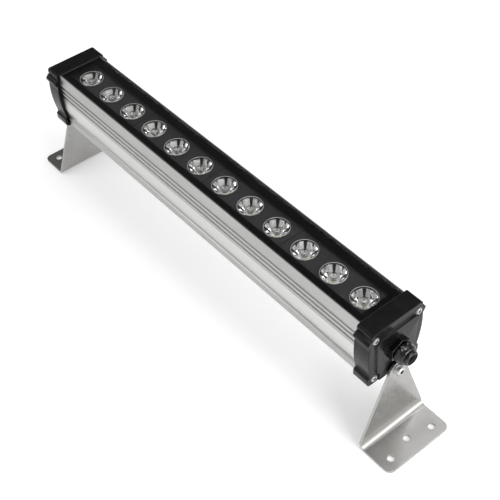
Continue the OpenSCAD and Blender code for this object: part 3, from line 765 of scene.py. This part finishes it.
def lens_wall():
    """Heights and radii up the outer wall: part cone and part parabola, close to the curve
    that gathers the light."""
    flare = LENS_R - LENS_SEAT - LENS_FOOT_R
    share = np.linspace(0, 1, LENS_WALL_STEPS)
    spread = LENS_CONE_SHARE * share + (1 - LENS_CONE_SHARE) * np.sqrt(share)
    return [(LENS_WALL_H * s, LENS_FOOT_R + flare * out) for s, out in zip(share, spread)]


def lens_profile():
    """Half section of one lens from the middle of its well, down the well, out along the
    foot, up the outer wall, round the flange and back over the front."""
    crown = [(LENS_WELL_H + LENS_WELL_CROWN * (1 - s * s), s * LENS_WELL_R)
             for s in np.linspace(0, 1, LENS_CROWN_STEPS)]
    flange = [(LENS_WALL_H, LENS_R - LENS_FLANGE_EDGE), (LENS_WALL_H + LENS_FLANGE_EDGE, LENS_R)]
    front = soft_edge(LENS_H, LENS_R, LENS_FRONT_EDGE, "side")
    return [*crown, (0, LENS_WELL_R + LENS_WELL_EDGE), *lens_wall(), *flange, *front,
            (LENS_H, 0)]


def lens_rim():
    """Raised rim round a lens front: a ring with a half round top."""
    middle = LENS_R - RIM_W / 2
    half = RIM_W / 2
    top = [(LENS_H + RIM_PROUD * math.sin(a), middle + half * math.cos(a))
           for a in np.linspace(0, math.pi, RIM_STEPS)]
    return turned([*top, (LENS_H - half, middle - half), (LENS_H - half, middle + half)])


def lens_leg(turn):
    """One leg of a lens holder: a closed strip bonded to the lens wall, that follows it from
    above the foot to below the flange, and spans a small turn round the lens."""
    wall = np.array(lens_wall()[1:-1])
    inner = wall - [0, LEG_BOND]
    outer = wall[::-1] + [0, LEG_T]
    section = np.concatenate([inner, outer])
    angle = FULL_TURN * (turn + np.linspace(-LEG_HALF_TURN, LEG_HALF_TURN, LEG_STEPS))
    height, radius = section[:, :1], section[:, 1:]
    points = np.stack([radius * np.cos(angle), radius * np.sin(angle),
                       height * np.ones(len(angle))], -1)
    flat, quads = skin(points, round_steps=False)
    first = np.arange(len(section)) * len(angle)
    return flat, [*quads, first, first[::-1] + len(angle) - 1]


def lens_cup():
    """White cup round a lens wall, clear of it by a little more than the legs' thickness."""
    wall = np.array(lens_wall()[CUP_WALL_STEPS])
    inner = wall + [0, CUP_GAP]
    outer = wall[::-1] + [0, CUP_GAP + CUP_T]
    return turned([*inner, *outer])


def lenses():
    """Three turned lenses to a module, each with its rim, its cup and its holder's legs."""
    legs = joined([lens_leg(turn) for turn in LEG_TURNS])
    row_middle = (MODULE_COUNT * LENSES_EACH - 1) / 2
    for module in range(MODULE_COUNT):
        places = [(module * LENSES_EACH + k - row_middle) * LENS_PITCH
                  for k in range(LENSES_EACH)]
        node = f"lens_group_{module + 1}"
        for name, part, nodes, slot, material, smooth_angle in [
                ("collimator_lenses", turned(lens_profile()), [node], "clear_acrylic",
                 FINISHES["clear_acrylic"], LENS_SMOOTH_ANGLE),
                ("lens_rims", lens_rim(), [], "clear_acrylic", FROSTED_ACRYLIC, SMOOTH_ANGLE),
                ("lens_holder_legs", legs, [], "black_plastic", FINISHES["black_plastic"],
                 SMOOTH_ANGLE),
                ("lens_cups", lens_cup(), [], "white_board", MOULDED_WHITE, SMOOTH_ANGLE)]:
            points, faces = joined([upright(part, x=x, z=LENS_FRONT_Z - LENS_H) for x in places])
            piece = add_mesh(f"{name}_{module + 1}", points, faces, smooth_angle)
            dress(piece, nodes, "bar", material)


# Fixings

def button_head(head_r, head_h, top_r, key, shank_r, shank_len):
    """Screw from the tip of its shank, out under its head, up its side and over a quarter
    ellipse to the flat top, then down its hexagon socket to the floor."""
    key_r = hex_radius(key, key)
    side_h = HEAD_SIDE_SHARE * head_h
    dome = [(side_h + (head_h - side_h) * math.sin(a), top_r + (head_r - top_r) * math.cos(a))
            for a in np.linspace(0, math.pi / 2, DOME_STEPS)]
    return turned([(-shank_len, 0), (-shank_len, shank_r), (0, shank_r), (0, head_r), *dome,
                   (head_h, key_r + KEY_LEAD_W), (head_h - KEY_LEAD_H, key_r),
                   (KEY_WALL_SHARE * head_h, key_r), (KEY_FLOOR_SHARE * head_h, 0)])


def darken_sockets(piece, places, key):
    """Gives the faces inside the key holes, which stand at these places across and up, the
    finish of raw steel, darkened as painted shade for the hole's depth."""
    centres = np.empty(len(piece.data.polygons) * 3)
    piece.data.polygons.foreach_get("center", centres)
    across = centres.reshape(-1, 3)[:, None, 1:] / MM - np.array(places)
    inside = np.linalg.norm(across, axis=-1).min(axis=1) < key / 2 / math.cos(math.pi / 6)
    # Painted shade: the faces inside the key holes take a dark finish that stands in for their
    # shadow
    piece.data.materials.append(SOCKET_STEEL_AND_SHADE)
    piece.data.polygons.foreach_set("material_index", inside.astype(np.int32))


def ring(inner_r, outer_r, thickness, turn_r):
    """Washer with its outer edges rounded."""
    foot = [(thickness - h, r) for h, r in soft_edge(thickness, outer_r, turn_r, "top")]
    return turned([(0, inner_r), *foot, *soft_edge(thickness, outer_r, turn_r, "side"),
                   (thickness, inner_r)])


def fixings():
    """Cap screws and washers, and the pivot bolt with its spacer and washers, at each end."""
    screw = button_head(SCREW_HEAD_R, SCREW_HEAD_H, SCREW_TOP_R, SCREW_KEY, SCREW_R, SCREW_LEN)
    cap_washer = ring(SCREW_R + WASHER_PLAY, WASHER_R, WASHER_T, WASHER_EDGE)
    bolt = button_head(BOLT_HEAD_R, BOLT_HEAD_H, BOLT_TOP_R, BOLT_KEY, BOLT_R, BOLT_LEN)
    spacer = ring(BOLT_HOLE_R, SPACER_R, FOOT_X - SPACER_X, SPACER_EDGE)
    bolt_washer = ring(BOLT_HOLE_R, BOLT_WASHER_R, SPRING_X - FOOT_FACE_X, BOLT_WASHER_EDGE)
    pivot = [(0.0, PIVOT_Z)]
    for end, side in ENDS.items():
        for node, part, x, places, slot, key in [
                ("pivot_bolt", bolt, HEAD_X, pivot, "zinc_steel", BOLT_KEY),
                ("bolt_spacer", spacer, SPACER_X, pivot, "spacer_nylon", None),
                ("bolt_washer", bolt_washer, FOOT_FACE_X, pivot, "zinc_steel", None),
                ("cap_screws", screw, CAP_FACE_X + WASHER_T, CAP_SCREWS, "zinc_steel", SCREW_KEY),
                ("cap_washers", cap_washer, CAP_FACE_X, CAP_SCREWS, "zinc_steel", None)]:
            points, faces = joined([along_x(part, side, x, y, z) for y, z in places])
            piece = add_mesh(f"{end}_{node}_turned", points, faces)
            dress(piece, [f"{end}_{node}"], "bar", FINISHES[slot])
            if key:
                darken_sockets(piece, places, key)


# Cable gland

def gland_nut():
    """Dome nut: a hexagon with its corners turned off, that runs out into a round shoulder,
    then a groove, a collar and the mouth."""
    flat_r = NUT_FLATS / 2
    corner_r = flat_r / math.cos(math.pi / 6) * NUT_ROUND_SHARE
    grip = hex_radius(NUT_FLATS, corner_r)
    drawn_in = hex_radius(NUT_FLATS - 2 * NUT_FOOT_EDGE, corner_r - NUT_FOOT_EDGE)
    foot = [(0, drawn_in), (NUT_FOOT_EDGE, grip), (NUT_CORNER_Z, grip)]
    shoulder_h = NUT_GROOVE_Z - NUT_SHOULDER_Z
    shoulder = [(NUT_SHOULDER_Z + shoulder_h * math.sin(a),
                 NUT_GROOVE_R + (flat_r - NUT_GROOVE_R) * math.cos(a))
                for a in np.linspace(0, math.pi / 2, NUT_SHOULDER_STEPS)]
    groove = [(NUT_GROOVE_Z + up, NUT_GROOVE_R - depth) for up, depth in NUT_GROOVE]
    collar = soft_edge(NUT_LEN, NUT_COLLAR_R, NUT_COLLAR_TURN_R, "side", NUT_COLLAR_STEPS)
    lead = NUT_MOUTH_TURN_SHARE * NUT_MOUTH_TURN_R
    mouth = [(NUT_LEN, NUT_MOUTH_R + NUT_MOUTH_TURN_R), (NUT_LEN - lead, NUT_MOUTH_R + lead),
             (NUT_LEN - NUT_MOUTH_TURN_R, NUT_MOUTH_R), (NUT_THREAD_LEN, NUT_MOUTH_R),
             (NUT_THREAD_LEN, NUT_THREAD_R), (0, NUT_THREAD_R)]
    return turned([*foot, *shoulder, *groove, *collar, *mouth])


def gland_sleeve():
    """Seal that shows in the nut's mouth: a sleeve whose front is a half round lip."""
    length = NUT_X + NUT_LEN - SEAL_RECESS - SEAL_BACK_X
    middle = (SEAL_R + SEAL_BORE_R) / 2
    lip = [(length - SEAL_LIP_R + SEAL_LIP_R * math.sin(a),
            middle + (SEAL_R - middle) * math.cos(a))
           for a in np.linspace(0, math.pi, SEAL_LIP_STEPS)]
    return turned([(0, SEAL_R), *lip, (0, SEAL_BORE_R)])


def gland():
    """The gland's dome nut, and the seal that shows in its mouth."""
    for node, part, x, slot, body in [
            ("gland_dome_nut", gland_nut(), NUT_X, "gland_nylon", "dome_nut"),
            ("gland_seal", gland_sleeve(), SEAL_BACK_X, "seal_rubber", "bar")]:
        points, faces = along_x(part, x=x, z=GLAND_Z)
        piece = add_mesh(f"{node}_moulded", points, faces, GLAND_SMOOTH_ANGLE)
        dress(piece, [node], body, FINISHES[slot])


# Studio

def photo_camera():
    """The photograph's camera. Its frame is shifted a little, as the photograph's crop is."""
    data = bpy.data.cameras.new("photo_camera")
    data.sensor_width = SENSOR_MM
    data.lens = CAMERA_LENS_PX / FRAME_PX * SENSOR_MM
    data.shift_y = CAMERA_SHIFT_PX / FRAME_PX
    camera = bpy.data.objects.new("photo_camera", data)
    bpy.context.scene.collection.objects.link(camera)
    turn = (Matrix.Rotation(math.radians(CAMERA_AZIMUTH), 4, "Z")
            @ Matrix.Rotation(math.radians(90 - CAMERA_ELEVATION), 4, "X")
            @ Matrix.Rotation(math.radians(CAMERA_ROLL), 4, "Z"))
    camera.matrix_world = Matrix.Translation(Vector(CAMERA_PLACE) * MM) @ turn
    bpy.context.scene.camera = camera


ROOM_LEVEL = 0.5
# Dark cards, the first where the pane mirrors it and a paler one where the feet do: way to
# the middle, way of the long side, half length, half width, and the share of light left
CARDS = [
    ((-0.63, 0.43, 0.645), (0.81, 0.32, 0.49), 0.29, 0.2, 0.12),
    ((0.30, 0.44, 0.84), (0.8, 0.0, -0.6), 0.24, 0.3, 0.5),
]
# Distances at which a card's soft edge starts and ends, where 1 is its outline, and the one
# that puts directions behind the card out of its reach
CARD_EDGE = (0.85, 1.1)
CARD_BEHIND = 9.0


def card_shade(tree, way, middle, long_way, half_long, half_wide, left):
    """Share of light that a soft edged card leaves, as an ellipse in direction space: its
    distance is the length of the direction's parts along and across the card, each over that
    half size. Directions behind the card are pushed out of its reach."""
    middle = Vector(middle).normalized()
    along = (Vector(long_way) - Vector(long_way).dot(middle) * middle).normalized()
    across = middle.cross(along)
    parts = [add(tree, "ShaderNodeVectorMath", {"operation": "DOT_PRODUCT"}, Vector=way,
                 Vector_001=axis / half).outputs["Value"]
             for axis, half in [(along, half_long), (across, half_wide), (middle, 1)]]
    behind = add(tree, "ShaderNodeMath", {"operation": "LESS_THAN"}, Value=parts[2],
                 Value_001=0.0).outputs["Value"]
    pushed = add(tree, "ShaderNodeMath", {"operation": "MULTIPLY"}, Value=behind,
                 Value_001=CARD_BEHIND).outputs["Value"]
    spread = add(tree, "ShaderNodeCombineXYZ", X=parts[0], Y=parts[1],
                 Z=pushed).outputs["Vector"]
    distance = add(tree, "ShaderNodeVectorMath", {"operation": "LENGTH"},
                   Vector=spread).outputs["Value"]
    return add(tree, "ShaderNodeMapRange", {"interpolation_type": "SMOOTHSTEP"},
               Value=distance, From_Min=CARD_EDGE[0], From_Max=CARD_EDGE[1], To_Min=left,
               To_Max=1.0).outputs["Result"]


# Heights in direction space between which the white backdrop gives way to the room
BACKDROP_TOP = (0.15, 0.4)


def studio_room():
    """Even pale room with soft dark cards overhead, where the pane and the feet mirror it. A
    white backdrop stands round it, which the camera, metal and glass all show."""
    world = bpy.data.worlds.new("studio_room")
    world.use_nodes = True
    tree = world.node_tree
    tree.nodes.clear()
    way = add(tree, "ShaderNodeTexCoord").outputs["Generated"]
    level = ROOM_LEVEL
    for card in CARDS:
        level = add(tree, "ShaderNodeMath", {"operation": "MULTIPLY"}, Value=level,
                    Value_001=card_shade(tree, way, *card)).outputs["Value"]
    room = add(tree, "ShaderNodeBackground", Color=linear("#ffffff"), Strength=level)
    white = add(tree, "ShaderNodeBackground", Color=linear("#ffffff"), Strength=1.0)
    path = add(tree, "ShaderNodeLightPath")
    mirrored = add(tree, "ShaderNodeMath", {"operation": "MAXIMUM"},
                   Value=path.outputs["Is Glossy Ray"],
                   Value_001=path.outputs["Is Transmission Ray"]).outputs["Value"]
    height = add(tree, "ShaderNodeSeparateXYZ", Vector=way).outputs["Z"]
    backdrop = add(tree, "ShaderNodeMapRange", {"interpolation_type": "SMOOTHSTEP"},
                   Value=height, From_Min=BACKDROP_TOP[0], From_Max=BACKDROP_TOP[1],
                   To_Min=mirrored, To_Max=0.0).outputs["Result"]
    seen = add(tree, "ShaderNodeMath", {"operation": "MAXIMUM"}, Value=backdrop,
               Value_001=path.outputs["Is Camera Ray"]).outputs["Value"]
    mixed = add(tree, "ShaderNodeMixShader", Fac=seen, Shader=room.outputs["Background"],
                Shader_001=white.outputs["Background"])
    add(tree, "ShaderNodeOutputWorld", Surface=mixed.outputs["Shader"])
    bpy.context.scene.world = world


# Lamps: name, way to it, its distance, width and height in metres, and its brightness
LAMPS = [
    ("bend_softbox", (0.825, 0.410, 0.388), 1.8, 0.5, 1.2, 2.6),
    ("top_softbox", (0.05, 0.06, 1.0), 1.7, 0.5, 0.5, 6.5),
    ("plate_softbox", (0.025, 0.406, 0.914), 1.58, 0.6, 0.6, 1.8),
    ("corner_softbox", (0.52, 0.40, 0.755), 1.7, 0.4, 0.4, 2.0),
    ("glint_softbox", (0.90, -0.02, 0.42), 1.8, 0.9, 0.6, 9.0),
    ("flank_softbox", (-0.45, -0.55, 0.7), 1.8, 1.2, 1.2, 1.4),
]


def softbox(name, way, distance, width, height, level):
    """Lamp that faces the light from a direction. level is its brightness, where 1 is that of
    white paper in full light."""
    data = bpy.data.lights.new(name, "AREA")
    data.shape = "RECTANGLE"
    data.size = width
    data.size_y = height
    data.energy = level * math.pi * width * height
    lamp = bpy.data.objects.new(name, data)
    bpy.context.scene.collection.objects.link(lamp)
    back = Vector(way).normalized()
    lamp.location = back * distance
    lamp.rotation_euler = back.to_track_quat("Z", "Y").to_euler()


FLOOR_HALF = 6.0
# Glow of the floor near the light and far from it, and the distances between which it grows
FLOOR_GLOW = (0.22, 0.62)
FLOOR_GLOW_REACH = (0.6, 1.8)


def pale_floor():
    """Matt white paper floor. Seen straight, in a mirror or through glass it has a slight
    glow on top, so that it reads as white and still keeps the shadow. The glow grows with
    distance, where the lamps no longer reach."""
    corners = np.array([(-1, -1, 0), (1, -1, 0), (1, 1, 0), (-1, 1, 0)], float) * FLOOR_HALF
    floor = add_mesh("paper_floor", corners, [(0, 1, 2, 3)])
    made, tree, place = new_finish("white_paper")
    fibres = grain(tree, place, size=3)
    shader = add(tree, "ShaderNodeBsdfDiffuse", Color=shade(tree, fibres, "#f3f3f3", "#f5f5f5"))
    distance = add(tree, "ShaderNodeVectorMath", {"operation": "LENGTH"},
                   Vector=place).outputs["Value"]
    level = add(tree, "ShaderNodeMapRange", Value=distance, From_Min=FLOOR_GLOW_REACH[0],
                From_Max=FLOOR_GLOW_REACH[1], To_Min=FLOOR_GLOW[0],
                To_Max=FLOOR_GLOW[1]).outputs["Result"]
    glow = add(tree, "ShaderNodeEmission", Color=linear("#ffffff"), Strength=level)
    path = add(tree, "ShaderNodeLightPath")
    seen = path.outputs["Is Camera Ray"]
    for other in ("Is Glossy Ray", "Is Transmission Ray"):
        seen = add(tree, "ShaderNodeMath", {"operation": "MAXIMUM"}, Value=seen,
                   Value_001=path.outputs[other]).outputs["Value"]
    both = add(tree, "ShaderNodeAddShader", Shader=shader.outputs["BSDF"],
               Shader_001=glow.outputs["Emission"])
    mixed = add(tree, "ShaderNodeMixShader", Fac=seen, Shader=shader.outputs["BSDF"],
                Shader_001=both.outputs["Shader"])
    add(tree, "ShaderNodeOutputMaterial", Surface=mixed.outputs["Shader"])
    floor.data.materials.append(made)


photo_camera()
studio_room()
for lamp in LAMPS:
    softbox(*lamp)
pale_floor()
finish_nodes()
round_the_edges()
glass_pane()
glazing_bead()
lenses()
fixings()
gland()

bpy.context.scene.view_settings.view_transform = "Standard"
bpy.context.view_layer.update()
